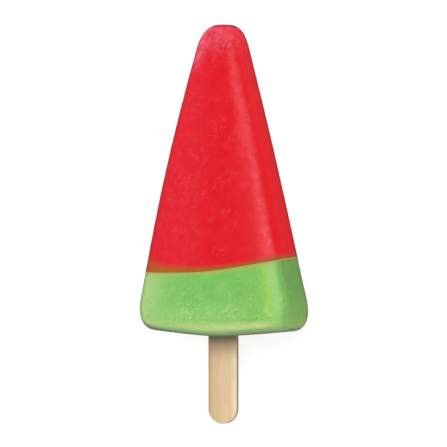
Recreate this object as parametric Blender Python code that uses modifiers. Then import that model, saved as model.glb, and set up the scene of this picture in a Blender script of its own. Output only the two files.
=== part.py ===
"""Ice lolly in the shape of a melon slice: a long red wedge with a rounded tip on a green
rind-coloured base, frozen round a flat wooden stick.

The lolly lies on its back with its front face up: +Y runs to the tip, the stick leaves
towards -Y, +Z points up through the front face, and Z = 0 is the surface it lies on.
Every shape is worked out in the lolly's own upright frame, where X is its width, Y its
height above the base, and Z its thickness, and an empty then lays it down.
"""

import math

import bmesh
import bpy
import numpy as np

MM = 0.001

# The ice, from its base to its tip
ICE_HEIGHT = 100.5 * MM
BASE_HALF_WIDTH = 28.6 * MM  # where the two long sides would meet the base line
TIP_HALF_WIDTH = 4.9 * MM
SIDE_CROWN = 1.45 * MM  # how far each long side swells out half way up
BASE_HALF_THICKNESS = 12.7 * MM
THICKNESS_TAPER = 0.06  # half thickness lost for each unit of height: the mould's draft
SECTION_POWER_BASE = 6.3  # 2 is an ellipse, and more is squarer
SECTION_POWER_TIP = 5.2
FACE_RADIUS = 200.0 * MM  # the front and the back swell out along arcs of this radius

# The rounded tip
TIP_CAP_HEIGHT = 9.2 * MM
TIP_CAP_POWER = 3.0

# The rounded edge round the base
CORNER_INSET = 5.7 * MM
CORNER_HEIGHT = 11.5 * MM
EDGE_INSET = 4.5 * MM  # the same rounding, towards the front and the back
EDGE_HEIGHT = 6.0 * MM

# The base is a very blunt keel: two straight slopes with a round middle
BASE_SLOPE = 0.1
BASE_KEEL_AT = 1.4 * MM  # its lowest point lies a little to the right
BASE_MIDDLE = 6.0 * MM
BASE_FADE_HEIGHT = 20.0 * MM

# A hand-sized unevenness: the middle line bows a little to the left
MIDLINE_BOW = 0.52 * MM
MIDLINE_LEAN = 0.06 * MM

# The line where the two flavours meet: level on the left, climbing to the right
FILL_HEIGHT = 20.9 * MM
FILL_SLOPE = 0.176
FILL_BEND_AT = -1.0 * MM
FILL_BEND_WIDTH = 8.2 * MM
FILL_DEPTH_SLOPE = 0.055  # it also climbs a little towards the back

# The flat wooden stick
STICK_LENGTH = 94.0 * MM
STICK_WIDTH = 10.0 * MM
STICK_THICKNESS = 2.0 * MM
STICK_EDGE = 0.3 * MM
STICK_SHOWS = 28.3 * MM

# How the pieces meet
PIECE_GAP = 0.3 * MM
BACK_FLAT_DEPTH = 0.25 * MM  # how much of the back's crown is lost to the flat it lies on

# How finely the curved surfaces are divided
RING_POINTS = 64
CORNER_CROWDING = 0.12  # draws the points of a ring together at its four corners
BODY_RINGS = 14
CORNER_RINGS = 8
TIP_RINGS = 10
BASE_RINGS = 4
FILL_POINTS = 25
STICK_END_POINTS = 13
WELD_DISTANCE = 0.01 * MM
SHARP_ANGLE = math.radians(35)

REACH = 40.0 * MM  # how far the cutters run past the ice

RED = "E2202B"
GREEN = "83C568"
WOOD = "DEC69E"


def srgb_colour(code):
    """Six hex digits as a linear colour with alpha 1."""
    channels = [int(code[i : i + 2], 16) / 255 for i in (0, 2, 4)]
    return [c / 12.92 if c <= 0.04045 else ((c + 0.055) / 1.055) ** 2.4 for c in channels] + [1.0]


def plain_material(name, code, roughness):
    material = bpy.data.materials.new(name)
    material.use_nodes = True
    shader = material.node_tree.nodes["Principled BSDF"]
    shader.inputs["Base Color"].default_value = srgb_colour(code)
    shader.inputs["Roughness"].default_value = roughness
    shader.inputs["Metallic"].default_value = 0.0
    return material


def new_collection(name):
    collection = bpy.data.collections.new(name)
    bpy.context.scene.collection.children.link(collection)
    return collection


def clear_scene():
    for leftover in list(bpy.data.objects):
        bpy.data.objects.remove(leftover, do_unlink=True)


def half_width_at(height):
    """Half the width of the ice, before its tip and its base are rounded."""
    share = height / ICE_HEIGHT
    straight = BASE_HALF_WIDTH + (TIP_HALF_WIDTH - BASE_HALF_WIDTH) * share
    return straight + 4 * SIDE_CROWN * share * (1 - share)


def half_thickness_at(height):
    return BASE_HALF_THICKNESS - THICKNESS_TAPER * height


def tip_rounding(height):
    """1 below the tip's cap, falling to 0 at the very top along a squarish arc."""
    left = min(max((ICE_HEIGHT - height) / TIP_CAP_HEIGHT, 0), 1)
    return (1 - (1 - left) ** TIP_CAP_POWER) ** (1 / TIP_CAP_POWER)


def edge_rounding(height, over):
    """1 at the base and 0 from `over` upwards, along a quarter of an ellipse."""
    up = min(height / over, 1)
    return 1 - math.sqrt(1 - (1 - up) ** 2)


def midline_at(height):
    share = height / ICE_HEIGHT
    return MIDLINE_LEAN * (1 - share) - 4 * MIDLINE_BOW * share * (1 - share)


def base_rise(x):
    """How far the base lies above its lowest point, at a distance x from the middle."""
    past = x - BASE_KEEL_AT
    return BASE_SLOPE * (np.sqrt(past**2 + BASE_MIDDLE**2) - BASE_MIDDLE)


def section_ring(height, shrink=1.0):
    """One closed ring round the ice, as an array of points: a superellipse at this height.

    Its front and back swell out along arcs. Near the base the ring follows the keel, and its
    back is cut level with the flat that the ice lies on. `shrink` draws it towards the middle,
    for the rings inside the base.
    """
    rounding = tip_rounding(height)
    width = half_width_at(height) * rounding - CORNER_INSET * edge_rounding(height, CORNER_HEIGHT)
    thickness = half_thickness_at(height) * rounding - EDGE_INSET * edge_rounding(height, EDGE_HEIGHT)
    share = height / ICE_HEIGHT
    power = SECTION_POWER_BASE + (SECTION_POWER_TIP - SECTION_POWER_BASE) * share
    turn = np.linspace(0, 2 * math.pi, RING_POINTS, endpoint=False)
    turn = turn + CORNER_CROWDING * np.sin(4 * turn)
    out = shrink / (np.abs(np.cos(turn)) ** power + np.abs(np.sin(turn)) ** power) ** (1 / power)
    x = width * out * np.cos(turn)
    z = thickness * out * np.sin(turn)
    z = z * (1 - x**2 / (2 * FACE_RADIUS * thickness))
    fade = max(1 - height / BASE_FADE_HEIGHT, 0)
    y = height + base_rise(x) * fade
    back = BACK_FLAT_DEPTH - half_thickness_at(y)
    return np.column_stack([x + midline_at(height), y, np.maximum(z, back)])


def ice_heights():
    """The heights of the rings, closest together round the base's edge and the tip."""
    quarter = np.linspace(0, math.pi / 2, CORNER_RINGS + 1)
    corner = CORNER_HEIGHT * (1 - np.cos(quarter))
    quarter = np.linspace(math.pi / 2, 0, TIP_RINGS + 1)[:-1]
    tip = ICE_HEIGHT - TIP_CAP_HEIGHT * (1 - np.cos(quarter))
    body = np.linspace(corner[-1], tip[0], BODY_RINGS + 2)[1:-1]
    return np.concatenate([corner, body, tip])


def loft(name, rings, first, last):
    """A closed skin over rings of equal count, fanned to a point at each end."""
    count = len(rings[0])
    points = np.vstack([[first], *rings, [last]])
    end = len(points) - 1
    faces = []
    for k in range(count):
        after = (k + 1) % count
        faces.append((0, 1 + k, 1 + after))
        for row in range(len(rings) - 1):
            low = 1 + row * count
            faces.append((low + k, low + count + k, low + count + after, low + after))
        low = 1 + (len(rings) - 1) * count
        faces.append((low + k, end, low + after))
    mesh = bpy.data.meshes.new(name)
    mesh.from_pydata(points.tolist(), [], faces)
    mesh.validate()
    return mesh


def ice_mesh():
    """The whole ice, red and green together, as one closed skin."""
    inside = [section_ring(0.0, step / BASE_RINGS) for step in range(1, BASE_RINGS)]
    outside = [section_ring(height) for height in ice_heights()]
    base_centre = (midline_at(0.0), base_rise(0.0), 0.0)
    tip_point = (midline_at(ICE_HEIGHT), ICE_HEIGHT, 0.0)
    return loft("ice", inside + outside, base_centre, tip_point)


def fill_line(x):
    """The height of the line between the flavours half way through the ice, at a distance x."""
    past = x - FILL_BEND_AT
    return FILL_HEIGHT + FILL_SLOPE * (past + np.sqrt(past**2 + FILL_BEND_WIDTH**2)) / 2


def flat_solid(name, outline, half_thickness):
    """A closed mesh of a flat outline in X and Y, drawn out both ways along Z."""
    curve = bpy.data.curves.new(name, "CURVE")
    curve.dimensions = "2D"
    curve.fill_mode = "BOTH"
    curve.extrude = half_thickness
    spline = curve.splines.new("POLY")
    spline.points.add(len(outline) - 1)
    for point, (x, y) in zip(spline.points, outline):
        point.co = (x, y, 0, 1)
    spline.use_cyclic_u = True
    drawn = bpy.data.objects.new(name + "_outline", curve)
    bpy.context.scene.collection.objects.link(drawn)
    graph = bpy.context.evaluated_depsgraph_get()
    mesh = bpy.data.meshes.new_from_object(drawn.evaluated_get(graph))
    bpy.data.objects.remove(drawn, do_unlink=True)
    weld_and_face_out(mesh)
    mesh.name = name
    return mesh


def weld_and_face_out(mesh):
    work = bmesh.new()
    work.from_mesh(mesh)
    bmesh.ops.remove_doubles(work, verts=work.verts, dist=WELD_DISTANCE)
    bmesh.ops.recalc_face_normals(work, faces=work.faces)
    work.to_mesh(mesh)
    work.free()


def fill_block(name, far_height, offset):
    """A block from the line between the flavours to a far height, `offset` clear of it."""
    x = np.linspace(-REACH, REACH, FILL_POINTS)
    near = np.column_stack([x, fill_line(x) + offset])
    far = np.array([[REACH, far_height], [-REACH, far_height]])
    mesh = flat_solid(name, np.vstack([near, far]), REACH)
    for vertex in mesh.vertices:
        vertex.co.y -= FILL_DEPTH_SLOPE * vertex.co.z
    return mesh


def stick_outline(clearance):
    """The stick's flat outline: two straight edges with a half circle at each end."""
    radius = STICK_WIDTH / 2 + clearance
    top = STICK_LENGTH - STICK_SHOWS - STICK_WIDTH / 2
    bottom = -STICK_SHOWS + STICK_WIDTH / 2
    turn = np.linspace(0, math.pi, STICK_END_POINTS)
    upper = np.column_stack([radius * np.cos(turn), top + radius * np.sin(turn)])
    lower = np.column_stack([-radius * np.cos(turn), bottom - radius * np.sin(turn)])
    return np.vstack([upper, lower])


def placed(name, mesh, parent, collection, material=None):
    thing = bpy.data.objects.new(name, mesh)
    collection.objects.link(thing)
    thing.parent = parent
    if material:
        mesh.materials.append(material)
    return thing


def as_cutter(thing):
    thing.hide_render = True
    thing.display_type = "WIRE"
    return thing


def boolean(thing, operation, other):
    modifier = thing.modifiers.new(other.name, "BOOLEAN")
    modifier.operation = operation
    modifier.solver = "EXACT"
    modifier.object = other


def shade_round(mesh):
    mesh.shade_smooth()
    mesh.set_sharp_from_angle(angle=SHARP_ANGLE)


def world_points(thing):
    world = np.array(thing.matrix_world)
    local = np.array([vertex.co for vertex in thing.data.vertices])
    return local @ world[:3, :3].T + world[:3, 3]


def lay_down(cradle, pieces):
    """Turns the upright lolly on to its back and centres it over the origin."""
    tilt = math.atan(THICKNESS_TAPER)
    cradle.rotation_euler = (-tilt, 0, 0)
    cradle.location = (0, 0, (BASE_HALF_THICKNESS - BACK_FLAT_DEPTH) * math.cos(tilt))
    bpy.context.view_layer.update()
    graph = bpy.context.evaluated_depsgraph_get()
    points = np.vstack([world_points(piece.evaluated_get(graph)) for piece in pieces])
    middle = (points.min(axis=0) + points.max(axis=0)) / 2
    cradle.location.x -= middle[0]
    cradle.location.y -= middle[1]


def main():
    clear_scene()
    lolly = new_collection("ice_lolly")
    cutters = new_collection("cutters")
    cradle = bpy.data.objects.new("cradle", None)
    lolly.objects.link(cradle)

    red = placed("red_ice", ice_mesh(), cradle, lolly, plain_material("red ice", RED, 0.4))
    green = placed("green_ice", ice_mesh(), cradle, lolly, plain_material("green ice", GREEN, 0.45))
    wood = plain_material("wood", WOOD, 0.6)
    stick_mesh = flat_solid("stick", stick_outline(0.0), STICK_THICKNESS / 2)
    stick = placed("stick", stick_mesh, cradle, lolly, wood)
    rounding = stick.modifiers.new("worn edge", "BEVEL")
    rounding.width = STICK_EDGE
    rounding.segments = 2
    rounding.limit_method = "ANGLE"

    top = ICE_HEIGHT + REACH
    upper = placed("upper_block", fill_block("upper_block", top, PIECE_GAP / 2), cradle, cutters)
    lower = placed("lower_block", fill_block("lower_block", -REACH, -PIECE_GAP / 2), cradle, cutters)
    pocket_mesh = flat_solid("pocket", stick_outline(PIECE_GAP), STICK_THICKNESS / 2 + PIECE_GAP)
    pocket = placed("pocket", pocket_mesh, cradle, cutters)
    for cutter in (upper, lower, pocket):
        as_cutter(cutter)

    boolean(red, "INTERSECT", upper)
    boolean(green, "INTERSECT", lower)
    boolean(red, "DIFFERENCE", pocket)
    boolean(green, "DIFFERENCE", pocket)
    for piece in (red, green, stick):
        shade_round(piece.data)
    lay_down(cradle, (red, green, stick))


main()
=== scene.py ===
# %% [markdown]
# # An ice lolly shaped like a slice of melon
#
# The real thing is two flavours of water ice, red over green, frozen in a tapered mould round a
# flat wooden stick. It lies on its back, so the camera looks down on its front face. The packed
# model gives the place and the size of every piece, and this lesson dresses it: a fine frosted
# skin for each flavour, a worn wooden stick, a pale floor and soft light.

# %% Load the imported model
import math

import bmesh
import bpy
import numpy as np
from mathutils import Matrix, Vector


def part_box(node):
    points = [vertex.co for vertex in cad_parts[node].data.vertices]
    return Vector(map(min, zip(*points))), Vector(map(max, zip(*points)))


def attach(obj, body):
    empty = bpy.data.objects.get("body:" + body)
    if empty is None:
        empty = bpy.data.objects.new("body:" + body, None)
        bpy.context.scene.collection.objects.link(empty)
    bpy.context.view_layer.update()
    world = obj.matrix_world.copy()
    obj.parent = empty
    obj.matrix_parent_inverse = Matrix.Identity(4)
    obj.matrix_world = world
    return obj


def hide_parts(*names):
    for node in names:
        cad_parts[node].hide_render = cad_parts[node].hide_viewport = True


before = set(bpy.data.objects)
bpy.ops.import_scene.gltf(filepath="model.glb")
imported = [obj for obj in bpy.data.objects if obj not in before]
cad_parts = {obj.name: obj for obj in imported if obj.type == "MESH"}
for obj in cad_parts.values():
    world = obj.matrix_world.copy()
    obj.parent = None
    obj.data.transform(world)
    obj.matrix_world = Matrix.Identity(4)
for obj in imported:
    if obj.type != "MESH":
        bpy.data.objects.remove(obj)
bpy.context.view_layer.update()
MM = 0.001

# %% [markdown]
# ## The lolly's own upright frame
#
# The lolly could be drawn as it lies, slightly tipped, but its shape is easiest to write down with
# the lolly standing up: X is its width, Y its height above the base and Z its thickness. The mould
# tapers, so a lolly on its back is tipped by that taper, and one small turn about X lays it down.
# The stick is symmetrical end to end, so the middle of its box fixes where the origin goes.

# %% Lay the upright frame down on the floor
THICKNESS_TAPER = 0.06
STICK_LENGTH = 94.0 * MM
STICK_SHOWS = 28.3 * MM
TILT = math.atan(THICKNESS_TAPER)
TURN = np.array(Matrix.Rotation(-TILT, 3, "X"))

stick_low, stick_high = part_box("stick")
STICK_MIDDLE = np.array([0, STICK_LENGTH / 2 - STICK_SHOWS, 0])
SHIFT = np.array((stick_low + stick_high) / 2) - TURN @ STICK_MIDDLE


def laid_down(points):
    """Upright points, turned on to the back and shifted to their place in the frame."""
    return points @ TURN.T + SHIFT


print("tilt in degrees:", round(math.degrees(TILT), 2), "shift in mm:", (SHIFT / MM).round(2))

# %% [markdown]
# ## The camera
#
# The photograph was taken square to the lolly's length and a little round to its right, so the
# right side face just shows. A long lens far away keeps the two sides almost parallel, where a
# short one close by would splay them. The stick's width in the photograph sets how many
# millimetres a pixel spans.

# %% Set up the camera
YAW = math.radians(24)
CAMERA_DISTANCE = 1.5
PIXELS = 447
PIXELS_PER_MM = 3.10
STICK_AXIS_PIXEL = 223.45
BASE_PIXEL = 336.0
SENSOR_MM = 36.0
CLIP_RANGE = 0.1, 20

across = (PIXELS / 2 - STICK_AXIS_PIXEL) / PIXELS_PER_MM * MM
up = (BASE_PIXEL - PIXELS / 2) / PIXELS_PER_MM * MM
axes = np.array(
    [[math.cos(YAW), 0, -math.sin(YAW)], [0, 1, 0], [math.sin(YAW), 0, math.cos(YAW)]]
)
target = np.array([0, up, 0]) + across * axes[0]
eye = laid_down(target + CAMERA_DISTANCE * axes[2])

camera = bpy.data.objects.new("camera", bpy.data.cameras.new("camera"))
bpy.context.scene.collection.objects.link(camera)
camera.data.sensor_width = SENSOR_MM
camera.data.lens = SENSOR_MM * CAMERA_DISTANCE / (PIXELS / PIXELS_PER_MM * MM)
camera.data.clip_start, camera.data.clip_end = CLIP_RANGE
looking = Matrix((axes @ TURN.T).T.tolist()).to_4x4()
camera.matrix_world = Matrix.Translation(Vector(eye)) @ looking
bpy.context.scene.camera = camera
print("lens in mm:", round(camera.data.lens, 1))

# %% [markdown]
# ## The floor
#
# The photograph has a pure white ground with hardly a shadow on it, as a light table gives. White
# card under strong lamps could do that too, but the lamps would burn out the ice. So the floor is
# a plain square that glows by itself, with a material that comes last below. It is kept out of
# reflections, or its white would wash out the red sides.

# %% Make the floor
FLOOR_HALF_SIZE = 4.0
FLOOR_DROP = 0.05 * MM

around = [(-1, -1), (1, -1), (1, 1), (-1, 1)]
plane = bpy.data.meshes.new("floor")
plane.from_pydata(
    [(FLOOR_HALF_SIZE * x, FLOOR_HALF_SIZE * y, -FLOOR_DROP) for x, y in around],
    [],
    [(0, 1, 2, 3)],
)
floor = bpy.data.objects.new("floor", plane)
bpy.context.scene.collection.objects.link(floor)
floor.visible_glossy = False
print("floor across in m:", 2 * FLOOR_HALF_SIZE)

# %% [markdown]
# ## The light
#
# Soft studio light comes from softboxes, lamps behind large white cloths. Point lamps would throw
# hard shadows, and a sky alone none at all, so area lights and a pale sky share the work. The lamp
# above the tip is the brightest, so the ice throws a short shadow on the stick. Weaker ones at the
# left and below the base light the rounded edges, and the left one leaves no shine of its own.

# %% Make the lights
# name: direction in the upright frame, distance and size in metres, watts, and whether it shines
SOFTBOXES = {
    "light_top": ((0.27, 0.38, 0.9), 1.1, (0.6, 0.76), 7.4, True),
    "light_tip": ((-0.7, 0.48, 0.5), 1.0, (0.5, 0.7), 2.1, False),
    "light_base": ((-0.12, -0.7, 0.62), 1.0, (0.7, 0.25), 1.1, True),
}
SKY_COLOUR, SKY_STRENGTH = (1, 1, 1, 1), 0.36


def softbox(name, direction, distance, size, power):
    """An area light facing the lolly's middle, from a direction in the upright frame."""
    light = bpy.data.lights.new(name, "AREA")
    light.shape = "RECTANGLE"
    light.size, light.size_y = size
    light.energy = power
    lamp = bpy.data.objects.new(name, light)
    bpy.context.scene.collection.objects.link(lamp)
    back = np.array(direction) / np.linalg.norm(direction)
    across = np.array([1, 0, 0]) - back[0] * back
    across = across / np.linalg.norm(across)
    axes = np.array([across, np.cross(back, across), back])
    place = laid_down(STICK_MIDDLE + back * distance)
    facing = Matrix((axes @ TURN.T).T.tolist()).to_4x4()
    lamp.matrix_world = Matrix.Translation(place) @ facing
    lamp.visible_camera = False
    return lamp


for name, (direction, distance, size, power, shines) in SOFTBOXES.items():
    softbox(name, direction, distance, size, power).visible_glossy = shines

world = bpy.data.worlds.new("studio")
world.use_nodes = True
sky = world.node_tree.nodes["Background"].inputs
sky["Color"].default_value, sky["Strength"].default_value = SKY_COLOUR, SKY_STRENGTH
bpy.context.scene.world = world
bpy.context.scene.view_settings.view_transform = "Standard"

# %% [markdown]
# ## The mould's shape
#
# The ice has the form of its mould: a tapered slab with a rounded tip, rounded lower corners and
# faces that swell a little. A block with bevels, pulled about by hand, would come close. Here each
# cross-section is a superellipse, a rectangle whose corners are so round that the sides never
# quite go flat, because one formula then holds every rounding and gives an even grid. Four curves
# shape it from the base to the tip: the taper, the cap of the tip, the round edges of the base,
# and the base itself, which rises gently to both sides.

# %% The taper and the roundings
ICE_HEIGHT = 100.5 * MM
BASE_HALF_WIDTH, TIP_HALF_WIDTH = 28.6 * MM, 4.9 * MM
SIDE_CROWN = 1.45 * MM
TIP_CAP_HEIGHT, TIP_CAP_POWER = 9.2 * MM, 3.0
BASE_SLOPE, BASE_KEEL_AT, BASE_MIDDLE = 0.1, 1.4 * MM, 6.0 * MM


def half_width(height):
    """A straight taper from base to tip, with a slight parabolic swell."""
    share = height / ICE_HEIGHT
    straight = BASE_HALF_WIDTH + (TIP_HALF_WIDTH - BASE_HALF_WIDTH) * share
    return straight + 4 * SIDE_CROWN * share * (1 - share)


def tip_rounding(height, power=TIP_CAP_POWER):
    """A superelliptic arc, (1 - (1 - left)^n)^(1/n): 1 below the cap and 0 at the very top."""
    left = np.clip((ICE_HEIGHT - height) / TIP_CAP_HEIGHT, 0, 1)
    return (1 - (1 - left) ** power) ** (1 / power)


def edge_rounding(height, over):
    """A quarter of an ellipse: 1 at the base, and 0 from `over` upwards."""
    rise = np.clip(height / over, 0, 1)
    return 1 - np.sqrt(1 - (1 - rise) ** 2)


def base_rise(x):
    """A hyperbola: two gentle slopes away from the middle, joined by a round bottom."""
    past = x - BASE_KEEL_AT
    return BASE_SLOPE * (np.sqrt(past**2 + BASE_MIDDLE**2) - BASE_MIDDLE)


print("half width half way up in mm:", round(half_width(ICE_HEIGHT / 2) / MM, 2))

# %% [markdown]
# ### One cross-section
#
# A real lolly is never quite even, and a perfectly symmetrical section would miss the photograph by
# most of a millimetre. So the back corners are squarer near the base, the right shoulder of the
# tip is squarer than the left one, the sides swell by a hair higher up, and the middle line bows a
# little. All of it comes from the same formula, so no point has to be moved by hand.

# %% The cross-section at any height
BASE_HALF_THICKNESS = 12.7 * MM
SECTION_POWER_BASE, SECTION_POWER_TIP = 6.3, 5.2
BACK_SQUARER, BACK_FADE_SHARE = 1.7, 0.5
RIGHT_SHOULDER_POWER = 4.0
SIDE_SWELL, SWELL_FROM, SWELL_OVER = 0.22 * MM, 14.0 * MM, 45.0 * MM
FACE_RADIUS = 200.0 * MM
CORNER_INSET, CORNER_HEIGHT = 5.7 * MM, 11.5 * MM
EDGE_INSET, EDGE_HEIGHT = 4.5 * MM, 6.0 * MM
BASE_FADE_HEIGHT = 20.0 * MM
MIDLINE_BOW, MIDLINE_LEAN = 0.52 * MM, 0.06 * MM
NO_THICKNESS = 1e-9


def section_point(height, turn, shrink=1.0):
    """Upright points of the section at `height`, at the angle `turn` round it.

    In the section's own proportions a point lies at the angle `turn`, at the distance
    1 / (cos^n + sin^n)^(1/n) of the superellipse of power n, times `shrink`. The power n falls
    towards the tip and is larger at the back near the base, which squares the corners there. The
    front and the back then swell out along arcs of FACE_RADIUS.
    """
    share = height / ICE_HEIGHT
    power = SECTION_POWER_BASE + (SECTION_POWER_TIP - SECTION_POWER_BASE) * share
    power = power + BACK_SQUARER * (np.sin(turn) < 0) * np.clip(1 - share / BACK_FADE_SHARE, 0, 1)
    left_cap, right_cap = tip_rounding(height), tip_rounding(height, RIGHT_SHOULDER_POWER)
    shoulder = np.where(np.cos(turn) > 0, right_cap, left_cap)
    swollen = half_width(height) + SIDE_SWELL * np.clip((height - SWELL_FROM) / SWELL_OVER, 0, 1)
    width = swollen * shoulder - CORNER_INSET * edge_rounding(height, CORNER_HEIGHT)
    thickness = (BASE_HALF_THICKNESS - THICKNESS_TAPER * height) * left_cap
    thickness = thickness - EDGE_INSET * edge_rounding(height, EDGE_HEIGHT)
    thickness = np.maximum(thickness, NO_THICKNESS)
    out = shrink / (np.abs(np.cos(turn)) ** power + np.abs(np.sin(turn)) ** power) ** (1 / power)
    x = width * out * np.cos(turn)
    z = thickness * out * np.sin(turn)
    z = z * (1 - x**2 / (2 * FACE_RADIUS * thickness))
    y = height + base_rise(x) * np.clip(1 - height / BASE_FADE_HEIGHT, 0, 1)
    middle = MIDLINE_LEAN * (1 - share) - 4 * MIDLINE_BOW * share * (1 - share)
    return np.stack([x + middle, y, z], axis=-1)


widest = section_point(np.linspace(0, ICE_HEIGHT, 200)[:, None], np.linspace(0, 2 * math.pi, 90))
print("widest in mm:", round(np.ptp(widest[..., 0]) / MM, 2))

# %% [markdown]
# ## Where the two flavours meet
#
# One syrup froze first, with a level left half and a slope that climbs to the right, and the
# other was poured against it. Cutting one body in two would leave ragged edges, so the skin of
# each flavour starts exactly on that line and the two skins share one edge. Each point of the
# edge is found by a few rounds of guessing a height, reading the line there and guessing again,
# which settles at once because the line is so flat.

# %% The line between the flavours
FILL_HEIGHT = 20.9 * MM
FILL_SLOPE = 0.176
FILL_BEND_AT = -1.0 * MM
FILL_BEND_WIDTH = 8.2 * MM
FILL_DEPTH_SLOPE = 0.055
ROUNDS = 8


def fill_line(points):
    """Level on the left, a slope on the right, joined by half a hyperbola; up towards the back."""
    past = points[..., 0] - FILL_BEND_AT
    level = FILL_HEIGHT + FILL_SLOPE * (past + np.sqrt(past**2 + FILL_BEND_WIDTH**2)) / 2
    return level - FILL_DEPTH_SLOPE * points[..., 2]


def edge_height(turn):
    """The height at which the mould's side crosses the line, at each angle round it."""
    height = np.full_like(turn, FILL_HEIGHT)
    for _ in range(ROUNDS):
        height = fill_line(section_point(height, turn))
    return height


print("the edge climbs by mm:", round(np.ptp(edge_height(np.linspace(0, 6.28, 60))) / MM, 2))

# %% [markdown]
# ## Unevenness without random draws
#
# Ice is never quite smooth. Random numbers could roughen it, but noise on a lattice is the same on
# every run: each lattice corner gets a fixed number from its own place, and a point takes a smooth
# mix of the eight corners around it. Two or three layers, each finer and weaker, look natural.

# %% Lattice noise for the relief
HASH_X, HASH_Y, HASH_Z, HASH_SEED, HASH_MIX = 73856093, 19349663, 83492791, 2654435761, 1274126177


def corner_value(cell, seed):
    """A fixed number from 0 to 1 for each lattice cell."""
    mixed = (cell[..., 0] * HASH_X) ^ (cell[..., 1] * HASH_Y) ^ (cell[..., 2] * HASH_Z)
    mixed = mixed ^ (seed * HASH_SEED)
    mixed = ((mixed ^ (mixed >> 13)) * HASH_MIX) & 0xFFFFFFFF
    return ((mixed ^ (mixed >> 16)) & 0xFFFF) / 65535.0


def noise(points, size, seed):
    """Smooth noise from 0 to 1 whose lattice has cells of `size`, one number or three."""
    place = points / np.asarray(size)
    cell = np.floor(place).astype(np.int64)
    share = place - cell
    share = share * share * (3 - 2 * share)
    total = 0
    for corner_offset in np.ndindex(2, 2, 2):
        step = np.array(corner_offset)
        weight = np.prod(np.where(step, share, 1 - share), axis=-1)
        total = total + weight * corner_value(cell + step, seed)
    return total


def layered_noise(points, size, seed, layers=3):
    """Layers of noise, each half as coarse and half as strong as the one before."""
    total = sum(noise(points, np.asarray(size) / 2**k, seed + k) / 2**k for k in range(layers))
    return total / sum(1 / 2**k for k in range(layers))


sample = noise(np.array([[10, 20, 30]]) * MM, 4 * MM, 1)
print("noise at one point:", round(float(sample[0]), 3))

# %% [markdown]
# ## From a grid of points to a skin
#
# The coarser frost is real relief, because a bump in the material alone would be missing from the
# mesh. Every skin is a grid of rows and columns that closes on itself round the columns. Its first
# and last rows shrink to a point or a line, and welding them closes the ends. The surface
# direction at each grid point comes from the points beside it, and the relief moves the point
# along that.

# %% Make a closed skin from a grid
WELD_DISTANCE = 0.001 * MM


def outward(grid):
    """The unit direction out of the surface at each grid point, from the points beside it.

    The cross product of the steps along a row and along a column is square to the surface. Whether
    it points out or in depends on how the grid runs, so its sign is taken from the grid's middle.
    """
    along = np.gradient(grid, axis=0)
    beside = np.roll(grid, -1, axis=1) - np.roll(grid, 1, axis=1)
    direction = np.cross(beside, along)
    direction = direction * np.sign(np.sum(direction * (grid - grid.mean(axis=(0, 1)))))
    return direction / np.maximum(np.linalg.norm(direction, axis=-1, keepdims=True), 1e-12)


def weld(mesh):
    """Merges the points that coincide, at poles and end lines, and turns every face outwards."""
    work = bmesh.new()
    work.from_mesh(mesh)
    bmesh.ops.remove_doubles(work, verts=work.verts, dist=WELD_DISTANCE)
    bmesh.ops.recalc_face_normals(work, faces=work.faces)
    work.to_mesh(mesh)
    work.free()


def skin(name, grid, fields):
    """A closed mesh object from a grid of points, with one number field or more on its points."""
    rows, columns = grid.shape[:2]
    index = np.arange(rows * columns).reshape(rows, columns)
    right = np.roll(index, -1, axis=1)
    quads = np.stack([index[:-1], right[:-1], right[1:], index[1:]], axis=-1).reshape(-1, 4)
    mesh = bpy.data.meshes.new(name)
    mesh.vertices.add(rows * columns)
    mesh.vertices.foreach_set("co", grid.astype(np.float32).ravel())
    mesh.loops.add(quads.size)
    mesh.loops.foreach_set("vertex_index", quads.astype(np.int32).ravel())
    mesh.polygons.add(len(quads))
    mesh.polygons.foreach_set("loop_start", np.arange(0, quads.size, 4, dtype=np.int32))
    mesh.update(calc_edges=True)
    for field_name, values in fields.items():
        attribute = mesh.attributes.new(field_name, "FLOAT", "POINT")
        spread = np.broadcast_to(values, (rows, columns))
        attribute.data.foreach_set("value", spread.astype(np.float32).ravel())
    weld(mesh)
    mesh.shade_smooth()
    piece = bpy.data.objects.new(name, mesh)
    bpy.context.scene.collection.objects.link(piece)
    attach(piece, "root")
    return piece


print("points closer than this are welded, in mm:", round(WELD_DISTANCE / MM, 4))

# %% [markdown]
# ## The red ice
#
# The red flavour fills the mould from the line between the flavours to the tip. Its surface is
# frosted: shallow hollows a few millimetres across, and finer grains on them. A remeshed and
# displaced block would need far more faces for that. The rows of this grid run from a point
# inside, out over the hidden face against the green, up the side and in to the tip. Its points
# crowd a little on the side faces, where the section turns fastest.

# %% Rows and columns shared by both flavours
COLUMNS = 420
FRONT_CROWDING, CORNER_CROWDING = 0.35, 0.06
HIDDEN_ROWS = 12
HIDDEN_SINK = 0.3 * MM

turn = np.linspace(0, 2 * math.pi, COLUMNS, endpoint=False)
TURN_ROUND = turn + FRONT_CROWDING * np.cos(turn) + CORNER_CROWDING * np.sin(4 * turn)
EDGE = edge_height(TURN_ROUND)


def hidden_face(sink):
    """Rows from the middle of the line's face out to its edge, hollowed by `sink` inside."""
    shrink = np.linspace(0, 1, HIDDEN_ROWS, endpoint=False)[:, None]
    points = section_point(EDGE[None, :], TURN_ROUND[None, :], shrink)
    points[..., 1] = fill_line(points) + sink * (1 - shrink**8)
    return points


print("columns:", COLUMNS, "closest in degrees:", round(math.degrees(np.diff(TURN_ROUND).min()), 2))

# %% Rows up the red side and over the tip
RED_SIDE_ROWS = 150
RED_TIP_ROWS = 40

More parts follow.
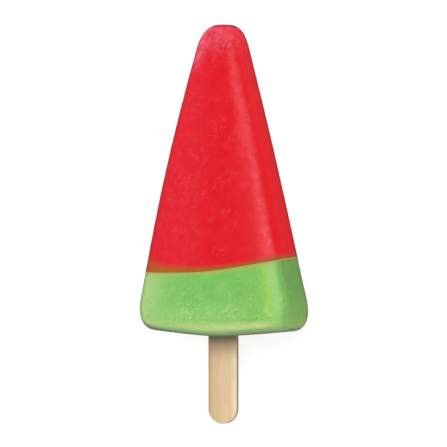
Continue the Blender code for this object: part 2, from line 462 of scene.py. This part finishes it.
climb = np.linspace(0, 1, RED_SIDE_ROWS, endpoint=False)[:, None]
side_heights = EDGE + (ICE_HEIGHT - TIP_CAP_HEIGHT - EDGE) * climb
arc = np.linspace(0, math.pi / 2, RED_TIP_ROWS)[:, None]
tip_heights = ICE_HEIGHT - TIP_CAP_HEIGHT * (1 - np.sin(arc)) + 0 * EDGE
red_heights = np.concatenate([side_heights, tip_heights])
red_grid = np.concatenate([hidden_face(HIDDEN_SINK), section_point(red_heights, TURN_ROUND)])
print("red grid:", red_grid.shape)

# %% The frosted relief
FROST_DEPTH, FROST_PATCH, FROST_GRAIN = 0.14 * MM, 5 * MM, 1.3 * MM
LINE_MARGIN = 1.0 * MM


def frosted(points):
    """How far the frost sinks the surface: patches with finer grains on them.

    Both fade out towards the line between the flavours, where the two skins share an edge.
    """
    patches = layered_noise(points, FROST_PATCH, seed=11)
    grains = layered_noise(points, FROST_GRAIN, seed=23, layers=2)
    off_line = np.clip(np.abs(points[..., 1] - fill_line(points)) / LINE_MARGIN, 0, 1)
    return FROST_DEPTH * off_line * (0.5 * patches + 0.5 * grains)


def flat_bottomed(points):
    """Nothing reaches below the floor, so the back is a true flat."""
    points[..., 2] = np.maximum(points[..., 2], 0)
    return points


red_sunk = red_grid - outward(red_grid) * frosted(red_grid)[..., None]
print("deepest frost in mm:", round(frosted(red_grid).max() / MM, 3))

# %% [markdown]
# ### Numbers for the colours
#
# The colours of ice depend on where on the skin a point is: how far over the line between the
# flavours, and which way the surface faces. A material could work the facing out by itself, but it
# would see every grain of the relief. So the smooth grid's own values are stored on the points as
# number fields, and the materials read them.

# %% The number fields and the red skin
MIX_RIGHT, MIX_LEFT_MORE, MIX_WAVER = 2.1 * MM, 5.6 * MM, (7 * MM, 2 * MM, 7 * MM)


def colour_fields(grid):
    """Numbers that the materials read: the place over the line, and which way the surface faces.

    The flavours mixed in a layer that is thick at the left edge and thins out quickly to the
    right. `mixing` is the height over the line as a share of that thickness, which falls with the
    fourth power of the share of the width that is still to the right, and wavers a little.
    """
    facing = outward(grid)
    over_line = grid[..., 1] - fill_line(grid)
    rightward = np.clip(0.5 + grid[..., 0] / (2 * BASE_HALF_WIDTH), 0, 1)
    thick = MIX_RIGHT + MIX_LEFT_MORE * (1 - rightward) ** 4
    thick = thick * (0.6 + 0.8 * noise(grid, MIX_WAVER, seed=71))
    return {
        "over_line": over_line / MM,
        "mixing": over_line / thick,
        "rightward": rightward,
        "facing_right": facing[..., 0],
        "facing_tip": facing[..., 1],
        "facing_front": facing[..., 2],
    }


red_ice = skin("red_ice_skin", flat_bottomed(laid_down(red_sunk)), colour_fields(red_grid))
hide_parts("red_ice")
print("red triangles:", sum(len(p.vertices) - 2 for p in red_ice.data.polygons))

# %% [markdown]
# ## The green ice
#
# The green base takes the same steps downwards: out over the hidden face, down the side, round
# the lower edge and in under the base. It could share one grid with the red, but each flavour is
# a piece of its own that has to be closed, with a face against the other.

# %% Rows down the green side and under the base
GREEN_SIDE_ROWS = 40
GREEN_EDGE_ROWS = 40
GREEN_BASE_ROWS = 30

drop = np.linspace(0, 1, GREEN_SIDE_ROWS, endpoint=False)[:, None]
side_heights = EDGE + (CORNER_HEIGHT - EDGE) * drop
arc = np.linspace(math.pi / 2, 0, GREEN_EDGE_ROWS)[:, None]
edge_heights = CORNER_HEIGHT * (1 - np.cos(arc)) + 0 * EDGE
green_heights = np.concatenate([side_heights, edge_heights])
base_shrink = np.linspace(1, 0, GREEN_BASE_ROWS + 1)[1:, None]
base = section_point(0 * EDGE[None, :], TURN_ROUND[None, :], base_shrink)
green_side = section_point(green_heights, TURN_ROUND)
green_grid = np.concatenate([hidden_face(-HIDDEN_SINK), green_side, base])
print("green grid:", green_grid.shape)

# %% [markdown]
# ### Crystals in the green
#
# On the green the frost has grown into short crooked crystals a millimetre or two long, most of
# them low down. Modelled one by one they would be hundreds of pieces. Instead the skin between
# them is sunk, and they are left standing where a warped noise crosses its middle value.

# %% The crystals
CRYSTAL_DEPTH = 0.16 * MM
CRYSTAL_SHADOW_OFFSET = np.array([0.35, -0.3, 0]) * MM
TWIST_SIZE, TWIST = 1.4 * MM, 2.4 * MM
CRYSTAL_CELL, CRYSTAL_HALF_WIDTH = (1.3 * MM, 1.6 * MM, 1.4 * MM), 0.13
CRYSTAL_LENGTH, CRYSTAL_PATCH = 1.4 * MM, 4 * MM
LEAST_UP_HIGH, LEAST_BETWEEN = 0.25, 0.15


def crystals(points):
    """Crooked ridges, from 0 to 1: 1 - |level - 1/2| / half width, of a warped noise `level`.

    A second noise cuts them into short pieces, a third gathers them in patches, and the height
    thins them out upwards.
    """
    warp = np.stack([noise(points, TWIST_SIZE, 31 + k) for k in range(3)], axis=-1) - 0.5
    level = noise(points + TWIST * warp, CRYSTAL_CELL, seed=41)
    ridge = np.clip(1 - np.abs(level - 0.5) / CRYSTAL_HALF_WIDTH, 0, 1)
    pieces = np.clip(4 * noise(points, CRYSTAL_LENGTH, seed=45) - 1.0, 0, 1)
    low_down = (FILL_HEIGHT - points[..., 1]) / (0.6 * FILL_HEIGHT)
    low_down = np.clip(low_down, LEAST_UP_HIGH, 1)
    patch = np.clip(3 * noise(points, CRYSTAL_PATCH, seed=51) - 0.6, LEAST_BETWEEN, 1)
    return ridge * pieces * patch * low_down


green_fields = colour_fields(green_grid)
on_broad_faces = np.clip(3 * np.abs(green_fields["facing_front"]) - 1.6, 0, 1)
room = on_broad_faces * np.clip(-green_fields["over_line"] / 5, 0, 1)
green_crystals = crystals(green_grid) * room
# A painted shadow beside each crystal: the crystals moved a fraction of a millimetre, less the
# crystals themselves.
green_crystal_shadows = np.clip(crystals(green_grid - CRYSTAL_SHADOW_OFFSET) * room - green_crystals, 0, 1)
print("share of the green with crystals:", round(float((green_crystals > 0.3).mean()), 3))

# %% The green skin
below_line = np.clip(-green_fields["over_line"] / 2, 0, 1)
between_crystals = on_broad_faces * below_line * CRYSTAL_DEPTH * (1 - green_crystals)
green_sink = frosted(green_grid) + between_crystals
green_sunk = green_grid - outward(green_grid) * green_sink[..., None]
green_ice = skin(
    "green_ice_skin",
    flat_bottomed(laid_down(green_sunk)),
    {**green_fields, "crystals": green_crystals, "crystal_shadows": green_crystal_shadows},
)
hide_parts("green_ice")
print("green triangles:", sum(len(p.vertices) - 2 for p in green_ice.data.polygons))

# %% [markdown]
# ## The wooden stick
#
# A lolly stick is stamped out of a birch veneer and tumbled, so its edges are slightly round. A
# bevel on a flat outline would leave edges that are all alike, and a grid can be worn unevenly.
# The outline is a straight middle line thickened by a radius, so every inner outline is the same
# line with a smaller radius. The rows walk a profile from the middle line of the front, over the
# worn edge, to the middle line of the back.

# %% The profile of the stick
STICK_HALF_WIDTH, STICK_HALF_THICKNESS, STICK_EDGE = 5.0 * MM, 1.0 * MM, 0.3 * MM
STICK_COLUMNS, STICK_FACE_ROWS, STICK_EDGE_ROWS = 240, 16, 6


def stadium(count):
    """Directions outwards and the matching points of the middle line, once round the stick."""
    straight = STICK_LENGTH / 2 - STICK_HALF_WIDTH
    half_round = np.linspace(0, math.pi, count // 4)
    run = np.linspace(-straight, straight, count // 4 + 2)[1:-1]
    angle = np.concatenate([half_round, np.full_like(run, math.pi), half_round + math.pi, 0 * run])
    middle = np.concatenate([0 * half_round + straight, -run, 0 * half_round - straight, run])
    return np.stack([np.cos(angle), np.sin(angle)], axis=-1), middle


way, middle_line = stadium(STICK_COLUMNS)
face_radius = np.linspace(0, STICK_HALF_WIDTH - STICK_EDGE, STICK_FACE_ROWS, endpoint=False)
edge_turn = np.linspace(0, math.pi / 2, STICK_EDGE_ROWS)
edge_radius = STICK_HALF_WIDTH - STICK_EDGE * (1 - np.sin(edge_turn))
profile_radius = np.concatenate([face_radius, edge_radius])
profile_lift = np.concatenate([0 * face_radius, STICK_EDGE * (1 - np.cos(edge_turn))])
radius = np.concatenate([profile_radius, profile_radius[::-1]])[:, None]
front_lift = STICK_HALF_THICKNESS - profile_lift
lift = np.concatenate([front_lift, -front_lift[::-1]])
print("profile rows:", len(lift))

# %% The worn stick
EDGE_WEAR, WEAR_SIZE = 0.05 * MM, (2 * MM, 5 * MM, 2 * MM)

stick_grid = np.stack(
    [
        radius * way[:, 0],
        STICK_MIDDLE[1] + middle_line + radius * way[:, 1],
        lift[:, None] + 0 * radius * way[:, 0],
    ],
    axis=-1,
)
near_edge = (radius / STICK_HALF_WIDTH) ** 6
wear = EDGE_WEAR * noise(stick_grid, WEAR_SIZE, seed=61) * near_edge
stick_grid = stick_grid - outward(stick_grid) * wear[..., None]
stick = skin(
    "wooden_stick",
    laid_down(stick_grid),
    {
        "across": stick_grid[..., 0] / STICK_HALF_WIDTH,
        "frontward": lift[:, None] / STICK_HALF_THICKNESS,
        "edge_right": way[:, 0],
    },
)
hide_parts("stick")
print("stick triangles:", sum(len(p.vertices) - 2 for p in stick.data.polygons))

# %% [markdown]
# ## Materials
#
# Each material is a tree of nodes that ends in one Principled shader. A photograph of ice could be
# wrapped round the piece instead, but patterns worked out from the place have no seams and stay
# sharp in every view. Colours are written as the hex values that a picture editor shows, and one
# function turns them to the linear values that Blender works in. A second one adds a node.

# %% Colours and nodes


def colour(code):
    """A hex colour as linear red, green, blue and alpha, by the sRGB curve."""
    channels = [int(code[i : i + 2], 16) / 255 for i in (0, 2, 4)]
    linear = [c / 12.92 if c <= 0.04045 else ((c + 0.055) / 1.055) ** 2.4 for c in channels]
    return (*linear, 1.0)


def add(tree, kind, settings, *values, out=0, **named):
    """Adds one node with its settings and links, and gives its output number `out`.

    Values go to the sockets in use, in their order, or by name with _ for a space. What comes out
    of another node is linked, and a number, a direction or a colour is set on the socket.
    """
    node = tree.nodes.new("ShaderNode" + kind)
    for name, value in settings.items():
        setattr(node, name, value)
    pairs = list(zip([socket for socket in node.inputs if socket.enabled], values))
    pairs += [(node.inputs[name.replace("_", " ")], value) for name, value in named.items()]
    for socket, value in pairs:
        if isinstance(value, bpy.types.NodeSocket):
            tree.links.new(value, socket)
        else:
            socket.default_value = value
    outputs = [socket for socket in node.outputs if socket.enabled]
    return outputs[out] if outputs else None


def new_material(name, piece, *fields):
    """An empty material on a piece: its node tree, and the value of each of its number fields."""
    material = bpy.data.materials.new(name)
    material.use_nodes = True
    tree = material.node_tree
    tree.nodes.clear()
    piece.data.materials.clear()
    piece.data.materials.append(material)
    return tree, *[add(tree, "Attribute", {"attribute_name": field}, out=2) for field in fields]


print("an sRGB mid grey in linear light:", round(colour("808080")[0], 3))

# %% [markdown]
# ### Laying colour over colour
#
# Frost, stains and light on ice lie over each other in thin layers, so each material is built up
# as a painter would: a ground colour, then one colour after another, each laid on as strongly as
# the way the surface faces, the height and a pattern allow. A layer could be a node group, but a
# function that multiplies what it is given keeps each layer to one line.

# %% Layers of colour
SMOOTH = {"interpolation_type": "SMOOTHSTEP", "clamp": True}
TIMES, PLUS, MINUS, LARGER, UNSIGNED = [
    {"operation": word} for word in ("MULTIPLY", "ADD", "SUBTRACT", "MAXIMUM", "ABSOLUTE")
]
COLOURS = {"data_type": "RGBA"}


def strength(tree, *factors):
    """The product of the factors, each a number, a node's output, or a fade.

    A fade is (value, low, high, start, end): it is `start` as far as `low`, `end` from `high` on,
    and a smooth step 3t^2 - 2t^3 between them. It runs from 0 to 1 where those two are left out.
    """
    product = 1.0
    for place, factor in enumerate(factors):
        if isinstance(factor, tuple):
            factor = add(tree, "MapRange", SMOOTH, *factor)
        product = add(tree, "Math", TIMES, product, factor) if place else factor
    return product


def over(tree, below, above, *factors):
    """One colour laid over another, each a hex value or a node's output, by the factors."""
    pair = [colour(paint) if isinstance(paint, str) else paint for paint in (below, above)]
    return add(tree, "Mix", COLOURS, strength(tree, *factors), *pair)


def place_along(tree):
    """How far along the lolly a point lies, in metres from the middle of the frame."""
    place = add(tree, "TexCoord", {}, out=3)
    return add(tree, "SeparateXYZ", {}, place, out=1)


print("every fade is a", SMOOTH["interpolation_type"].lower())

# %% [markdown]
# ### Patterns in the ice
#
# Frozen syrup shows three things up close: cloudy patches, crooked threads where long crystals
# grew, and a few small pale dots of frost. They could be painted one by one, but Blender's noise
# and cell patterns on Object coordinates give endless ones, with sizes in real millimetres. Single
# crystals are a tenth of a millimetre or less, too fine to show here, so the patterns stand for
# clusters of them and are drawn about ten times coarser.

# %% Clouds, threads and dots
THREAD_TWIST = 1.2


def cloud(tree, size, detail=2.0, stretch=(1, 1, 1), moved=(0, 0, 0), twist=0.0):
    """Noise from 0 to 1 on Object coordinates, whose cells are `size` across before stretching."""
    place = add(tree, "TexCoord", {}, out=3)
    place = add(tree, "Mapping", {}, place, Location=moved, Scale=stretch)
    return add(tree, "TexNoise", {}, place, 1 / size, detail, Distortion=twist)


def threads(tree, size, half_width, moved=(0, 0, 0)):
    """Crooked thin lines, from 0 to 1: where a twisted noise is close to its middle value."""
    level = cloud(tree, size, moved=moved, twist=THREAD_TWIST)
    away = add(tree, "Math", MINUS, level, 0.5)
    away = add(tree, "Math", UNSIGNED, away)
    return strength(tree, (away, 0.0, half_width, 1.0, 0.0))


def frost_dots(tree, spacing, radius):
    """Small round dots about `spacing` apart: close to the points of a cell pattern."""
    place = add(tree, "TexCoord", {}, out=3)
    nearest = add(tree, "TexVoronoi", {}, place, 1 / spacing)
    return strength(tree, (nearest, 0.5 * radius / spacing, radius / spacing, 1.0, 0.0))


print("noise cells to a metre for 4 mm clouds:", round(1 / (4 * MM)))

# %% [markdown]
# ### The painted shade of the outline
#
# A thin deeper line edges the skin where it turns away from the camera. It is painted shade: a
# Fresnel mix would follow the camera, so the shade is tied to the surface instead, on the left
# face, the corners towards the back and the round of one end, all chosen by which way the surface
# faces.

# %% Where the outline is deeper
LEAN_FOR_YAW, LEAN_MORE = 0.45, 0.3


def outline(tree, right, front, end):
    """How much painted shade, from 0 to 1: the largest of the left face, the back corners, and the
    round of one end.

    On the round end a surface faces away from the camera once front + 0.45 right + 0.3 times what
    is over 0 of right has dropped to about a half.
    """
    left = strength(tree, (right, -0.25, -0.85, 0.0, 0.84))
    back = strength(tree, (front, 0.03, -0.12), (front, -0.3, -0.7, 1.0, 0.0))
    away = add(tree, "Math", PLUS, front, strength(tree, right, LEAN_FOR_YAW))
    rightmost = add(tree, "Math", LARGER, right, 0.0)
    away = add(tree, "Math", PLUS, away, strength(tree, rightmost, LEAN_MORE))
    past_round, inner_half = (away, 0.62, 0.48), (away, -0.2, -0.4, 1.0, 0.5)
    round_end = strength(tree, past_round, inner_half, (end, 0.25, 0.5, 0.0, 0.95))
    sides = add(tree, "Math", LARGER, left, back)
    return add(tree, "Math", LARGER, sides, round_end)


print("sideways weight in the outline:", LEAN_FOR_YAW)

# %% [markdown]
# ### The shader of frosted ice
#
# Clear ice would need a glass shader, but frost makes this ice milky: light enters, scatters a
# millimetre deep and comes out again near by. The Principled shader's subsurface share does that
# at little cost. The index of refraction is that of ice. The roughness is that of frost, a dull
# half gloss, and duller still on the side faces, where the photograph shows no shine. The finest
# pits are a bump: real ones are about 0.1 mm wide, and these are 0.5 mm wide so that they show.

# %% Frosted ice
ICE_IOR, ICE_SPECULAR = 1.31, 0.3
SCATTER_SHARE, SCATTER_DEPTH = 0.25, 1.2 * MM
GLOSSIEST, DULLEST, DULLER_SIDES = 0.36, 0.54, 0.28
FROST_PIT, FROST_PIT_DEPTH, FROST_PIT_SHARE = 0.5 * MM, 0.08 * MM, 0.25


def frosted_ice(tree, paint, front, scatter):
    """The shader that both flavours share: dull, finely pitted and a little translucent."""
    broad = add(tree, "Math", UNSIGNED, front)
    dull = strength(tree, (broad, 0.95, 0.45, 0.0, DULLER_SIDES))
    rough = strength(tree, (cloud(tree, 1.2 * MM), 0.2, 0.8, GLOSSIEST, DULLEST))
    pits = cloud(tree, FROST_PIT, 3.0)
    shader = add(
        tree,
        "BsdfPrincipled",
        {},
        Base_Color=paint,
        Roughness=add(tree, "Math", PLUS, rough, dull),
        IOR=ICE_IOR,
        Specular_IOR_Level=ICE_SPECULAR,
        Subsurface_Weight=SCATTER_SHARE,
        Subsurface_Radius=scatter,
        Subsurface_Scale=SCATTER_DEPTH,
        Normal=add(
            tree, "Bump", {}, Height=pits, Strength=FROST_PIT_SHARE, Distance=FROST_PIT_DEPTH
        ),
    )
    add(tree, "OutputMaterial", {}, Surface=shader)


print("light scatters to a depth of mm:", SCATTER_DEPTH / MM)

# %% [markdown]
# ### Red water ice
#
# Fruit-flavoured water ice is small ice crystals in frozen syrup, poured into a mould and pulled
# out with a thin frost on it. To the eye it is a deep, even red with faint clouds. A painted sheen
# makes it slightly lighter where the left of the face turns away. Pale threads of frost carry a
# painted highlight, and each has a dark twin beside it, a painted shadow, as raised crystals under
# a lamp show.

# %% The red ground, its clouds and its threads
tree, right, front, end, mixing, over_line, rightward = new_material(
    "frosted red water ice",
    red_ice,
    "facing_right",
    "facing_front",
    "facing_tip",
    "mixing",
    "over_line",
    "rightward",
)
height = place_along(tree)
THREAD_SIZE, THREAD_HALF_WIDTH = 3.2 * MM, 0.07
THREAD_SHADOW = (0.45 * MM, -0.35 * MM, 0)

red = over(tree, "E01220", "E82432", (cloud(tree, 4 * MM), 0.35, 0.7), 0.35)
# A painted sheen: the red is slightly lighter where the left of the face turns away.
wavering = add(tree, "Math", PLUS, right, strength(tree, cloud(tree, 4 * MM, 3.0), 0.05))
red = over(tree, red, "E22230", (wavering, 0.03, -0.015))
broken = strength(
    tree, (cloud(tree, 7 * MM, 1.0), 0.42, 0.60), (cloud(tree, 2.2 * MM), 0.42, 0.55)
)
# Pale threads of frost with a painted highlight, and beside each a painted shadow as its dark twin.
light = threads(tree, THREAD_SIZE, THREAD_HALF_WIDTH)
dark = threads(tree, THREAD_SIZE, THREAD_HALF_WIDTH, THREAD_SHADOW)
red = over(tree, red, "FF4C5C", light, broken, 0.27)
red = over(tree, red, "B00A18", dark, broken, 0.22)
flatter_right = (right, 0.0, -0.05, 0.35, 1.0)
red = over(tree, red, "FF3E50", (cloud(tree, 2.2 * MM, 3.0), 0.42, 0.62), flatter_right, 0.16)
red = over(tree, red, "A80812", (cloud(tree, 1.6 * MM, 3.0), 0.40, 0.65), 0.06)
print("red ground:", len(tree.nodes), "nodes")

# %% [markdown]
# ### The ridge that catches the light
#
# The front right corner catches the light, so its frost shows as a pale band. Below, the band is
# narrow and crisp, and above it is broad and soft and fades near the tip. A lamp strong enough to
# draw it alone would wash out the rest of the face. So most of it is a painted highlight, laid
# where the surface leans to the right by the right amount, and broken up by smears and specks of
# frost.

# %% The pale ridge
specks = strength(tree, (cloud(tree, 0.9 * MM, 3.0), 0.42, 0.62))
smears = strength(tree, (cloud(tree, 2.4 * MM), 0.38, 0.62))
speckled = (specks, 0.0, 1.0, 0.7, 1.0)

crisp = strength(
    tree,
    (right, 0.12, 0.36),
    (right, 0.46, 0.76, 1.0, 0.0),
    (height, 28 * MM, 44 * MM, 1.0, 0.0),
    (height, -6 * MM, 8 * MM, 1.0, 0.65),
)
unevenness = strength(tree, add(tree, "Math", MINUS, cloud(tree, 3.5 * MM), 0.5), 0.16)
uneven = add(tree, "Math", PLUS, right, unevenness)
soft = strength(
    tree,
    (uneven, 0.04, 0.19),
    (right, 0.50, 0.95, 1.0, 0.2),
    (height, 0, 40 * MM, 0.10, 0.52),
    (height, 46 * MM, 56 * MM, 1.0, 0.45),
)
# The pale band is a painted highlight on the frost of the front right corner.
ridge = add(tree, "Math", LARGER, crisp, soft)
red = over(tree, red, "FA626A", ridge, (smears, 0.0, 1.0, 0.6, 1.0), speckled, 0.65)
print("with the ridge:", len(tree.nodes), "nodes")

# %% [markdown]
# ### The crumbled tip
#
# The tip sits deepest in the mould and is the last to let go of it, and its skin is crumbled: pink
# frost with pale flecks and small red hollows. The pink is strongest at the upper left, where a
# painted sheen adds to the frost. The crumbled skin could be sculpted, but its lumps are under half
# a millimetre high, so colour tells more than form. It reaches a few millimetres further down at
# the left. The side face at the right is barer and painted a purer, lighter red, painted light that
# lifts it out of its shade.

# %% The pink tip
reach = add(tree, "Math", PLUS, height, strength(tree, (right, 0.0, -0.2, 0.0, 5 * MM)))
less_at_left_face = (right, -0.78, -0.97, 1.0, 0.5)
crumbled = (reach, 49 * MM, 57 * MM)

# Pink frost at the tip, strongest where it faces up and to the left, where it is a painted sheen as
# well.
red = over(
    tree,
    red,
    "E27C98",
    (reach, 53 * MM, 60 * MM),
    (right, 0.2, -0.45, 0.3, 1.0),
    less_at_left_face,
    (smears, 0.0, 1.0, 0.5, 1.0),
    speckled,
    0.76,
)
# A paler pink on the round end where it faces up and to the left: a painted sheen.
red = over(tree, red, "E68AA0", (right, 0.1, -0.5), (end, 0.3, 0.6), less_at_left_face, 0.6)
flecks = threads(tree, 2.4 * MM, THREAD_HALF_WIDTH, (3 * MM, 0, 0))
red = over(tree, red, "FF7C90", crumbled, flecks, 0.18)
red = over(tree, red, "B41428", crumbled, (cloud(tree, 1.7 * MM), 0.52, 0.68), 0.38)
# The right side face painted a purer, lighter red, painted light that lifts it out of its shade.
red = over(tree, red, "F20E1A", (right, 0.66, 0.95, 0.0, 0.5))
red = over(tree, red, "FF8C94", frost_dots(tree, 8 * MM, 0.4 * MM), 0.5)
print("with the tip:", len(tree.nodes), "nodes")

# %% [markdown]
# ### Where the syrups mixed
#
# Just above the green the two syrups ran into each other, and red with green makes a warm brown.
# The stained layer is thick at the left and thin at the right, with one paler line at its foot. A
# ramp along the height would cut straight across, and the line bends and climbs. So the layer
# follows the number field `mixing`, which was worked out from that line.

# %% The mixed layer, the outline and the shader
ochre = over(tree, "A86C22", "AC5026", rightward)
red = over(tree, red, ochre, (mixing, 0.0, 0.92, 1.0, 0.0))
red = over(tree, red, "BE8444", (over_line, 0.0, 0.4, 0.6, 0.0))
# Painted shade along the outline: a deeper red on the left face, the back corners and the round of
# the tip.
edge = outline(tree, right, front, end)
red = over(tree, red, "7E1022", edge, (smears, 0.0, 1.0, 0.75, 1.0), 0.82)
frosted_ice(tree, red, front, (1.0, 0.25, 0.15))
print("red ice:", len(tree.nodes), "nodes")

# %% [markdown]
# ### Green water ice
#
# The green is milkier than the red, and it takes the light in bands: mid green where it faces the
# front, paler and yellower on the rounded corners, where light gets through, and darker on the
# right side face. These bands are painted light and shade, each a layer that is tied to how far the
# surface leans to the right: painted highlights on the rounded corners and painted shade on the
# right side face.

# %% The green ground and its bands
tree, right, front, tipward, line, rightward, ridges, crystal_shadows = new_material(
    "frosted green water ice",
    green_ice,
    "facing_right",
    "facing_front",
    "facing_tip",
    "over_line",
    "rightward",
    "crystals",
    "crystal_shadows",
)
down = strength(tree, tipward, -1.0)

# colour: the lean to the right where the band starts and where it is full, and then, where the
# band is not to run from nothing to everything, how strong it is at each
LIGHT_AND_SHADE_BANDS = {
    "9ECD7C": (-0.03, -0.22),
    "BCDC8A": (-0.22, -0.50),
    "7EBC52": (0.03, 0.11, 0.0, 0.6),
    "A4D45C": (0.11, 0.25, 0.0, 0.7),
    "9ED088": (0.22, 0.35, 0.0, 0.6),
    "74B458": (0.40, 0.74, 0.0, 0.9),
    "689648": (0.80, 0.97, 0.0, 0.7),
}
green = over(tree, "77C05A", "84C66A", (cloud(tree, 5 * MM, 3.0), 0.3, 0.7))
green = over(tree, green, "B8DC88", (line, -8.0, -15.0, 0.0, 0.3))
# Painted light and shade: paler bands where the corners round off, darker ones on the right side
# face.
for code, band in LIGHT_AND_SHADE_BANDS.items():
    green = over(tree, green, code, (right, *band))
# A painted highlight low on the right side face.
green = over(tree, green, "96C468", (line, -9.0, -20.0), (right, 0.6, 0.9), 0.4)
print("green ground:", len(tree.nodes), "nodes")

# %% [markdown]
# ### Crystals, rim and line
#
# The raised crystals of the mesh are painted pale, partly as a painted highlight, and the sunk
# strip beside each is painted dark as its shadow, which is how low relief reads under a lamp. Light
# alone would show them too faintly in ice this milky, so fields on the mesh say where they are. The
# rounded lower rim is a pale yellow painted highlight, and the underside is painted in shade. Right
# under the red runs a thin yellow line, which turns brown at the right side face.

# %% The crystals, the rim, the line and the shader
green = over(tree, green, "B8EC98", threads(tree, 1.8 * MM, 0.06), 0.10)
green = over(tree, green, "5C9C42", (cloud(tree, 1.0 * MM), 0.45, 0.7), 0.08)
# Pale crystals, partly a painted highlight, and a painted shadow in the sunk strip beside each.
green = over(tree, green, "C0EEA0", ridges, 0.36)
green = over(tree, green, "4E8C3C", crystal_shadows, 0.30)
green = over(tree, green, "DCF4C0", frost_dots(tree, 7 * MM, 0.4 * MM), 0.5)
# A painted highlight on the rounded lower rim, pale yellow.
rim_highlight = strength(
    tree,
    (down, 0.04, 0.40),
    (down, 0.48, 0.74, 1.0, 0.0),
    (rightward, 0.05, 0.72, 0.35, 1.0),
    (rightward, 0.80, 0.90, 1.0, 0.15),
    (cloud(tree, 3 * MM), 0.3, 0.7, 0.8, 1.0),
)
green = over(tree, green, "D2E49A", rim_highlight, 0.9)
# The underside is painted in shade.
green = over(tree, green, "9CB286", (down, 0.52, 0.80, 0.0, 0.8))
green = over(tree, green, "BCB860", (line, -2.0, -0.3), (right, 0.4, 0.9, 1.0, 0.1), 0.66)
green = over(tree, green, "968050", (line, -1.7, -0.2), (right, 0.55, 0.9), 0.7)
green = over(tree, green, "BC9452", (line, -0.6, 0.0, 0.0, 0.7))
# Painted shade along the outline: grey green on the left face, the back corners and the round of
# the base.
green = over(tree, green, "5E6A52", outline(tree, right, front, down), 0.66)
frosted_ice(tree, green, front, (0.6, 1.0, 0.4))
print("green ice:", len(tree.nodes), "nodes")

# %% [markdown]
# ### Birch
#
# The stick is rotary-cut birch veneer, sanded but not varnished: pale and matt, with fine straight
# grain along its length and soft patches that lean to pink or to yellow. Real fibres are about 0.05
# mm wide, too fine to show, so they are drawn 0.35 mm wide, stretched 25 times along the stick. A
# wood photograph would repeat, and noise that is stretched like this never does. Across the front
# the wood is darker towards the left edge, with a painted highlight along the right. The end by the
# ice is darker, a painted shadow of the ice, and the cut side of the veneer at the right, which
# turns away from the lamps, is painted in shade.

# %% The wood's colours
tree, across, frontward, edge_right = new_material(
    "birch veneer", stick, "across", "frontward", "edge_right"
)
along = place_along(tree)
FIBRE, FIBRE_STRETCH = 0.35 * MM, (1, 0.04, 1)
STREAK, STREAK_STRETCH = 1.2 * MM, (1, 0.06, 1)
PATCH_STRETCH = (1, 0.5, 1)

fibres = cloud(tree, FIBRE, 3.0, FIBRE_STRETCH)
streaks = cloud(tree, STREAK, 2.0, STREAK_STRETCH)
wood = over(tree, "E2CA9E", "E8C8A6", (cloud(tree, 6 * MM, 1.0, PATCH_STRETCH), 0.35, 0.65))
wood = over(tree, wood, "C7A476", (fibres, 0.35, 0.75, 0.0, 0.25))
wood = over(tree, wood, "F4E0BC", (streaks, 0.5, 0.8, 0.0, 0.25))
# Darker towards the left edge of the face.
wood = over(tree, wood, "CCAA7A", (across, 0.05, -0.3, 0.0, 0.35))
wood = over(tree, wood, "B88E5C", (across, -0.6, -1.0, 0.0, 0.7))
# A painted highlight along the right of the face.
wood = over(tree, wood, "FFEBCA", (across, 0.50, 0.85, 0.0, 0.5))
# The cut side at the right is painted in shade.
wood = over(tree, wood, "7C7050", (frontward, 0.95, 0.1), (edge_right, -0.8, 0.2), 0.78)
flush = (cloud(tree, 5 * MM, 1.0, PATCH_STRETCH), 0.50, 0.68)
wood = over(tree, wood, "EBB48C", flush, 0.35)
# A painted shadow of the ice on the end of the stick, darkest at its root.
wood = over(tree, wood, "B09070", (along, -44.5 * MM, -37.5 * MM), 0.55)
wood = over(tree, wood, "949272", (along, -38.8 * MM, -36.4 * MM, 0.0, 0.8))
print("birch colours:", len(tree.nodes), "nodes")

# %% The wood's shader
WOOD_IOR, FIBRE_SHARE, FIBRE_DEPTH = 1.5, 0.4, 0.06 * MM

shader = add(
    tree,
    "BsdfPrincipled",
    {},
    Base_Color=wood,
    Roughness=strength(tree, (fibres, 0.3, 0.7, 0.55, 0.7)),
    IOR=WOOD_IOR,
    Normal=add(tree, "Bump", {}, Height=fibres, Strength=FIBRE_SHARE, Distance=FIBRE_DEPTH),
)
add(tree, "OutputMaterial", {}, Surface=shader)
print("birch:", len(tree.nodes), "nodes")

# %% [markdown]
# ### The light table
#
# A light table is opal acrylic lit from below: an even white with no sharp reflections. A grey
# plastic that glows does the same, and its glow and the lamps add up to white around the lolly,
# with only a trace of shadow under it.

# %% The floor's material
TABLE_ROUGHNESS, TABLE_GLOW = 0.8, 0.82

tree = new_material("white light table", floor)[0]
shader = add(
    tree,
    "BsdfPrincipled",
    {},
    Base_Color=over(tree, "949494", "989898", cloud(tree, 200 * MM)),
    Roughness=TABLE_ROUGHNESS,
    Emission_Color=(1, 1, 1, 1),
    Emission_Strength=TABLE_GLOW,
)
add(tree, "OutputMaterial", {}, Surface=shader)
print("materials:", sorted(m.name for m in bpy.data.materials if m.users))
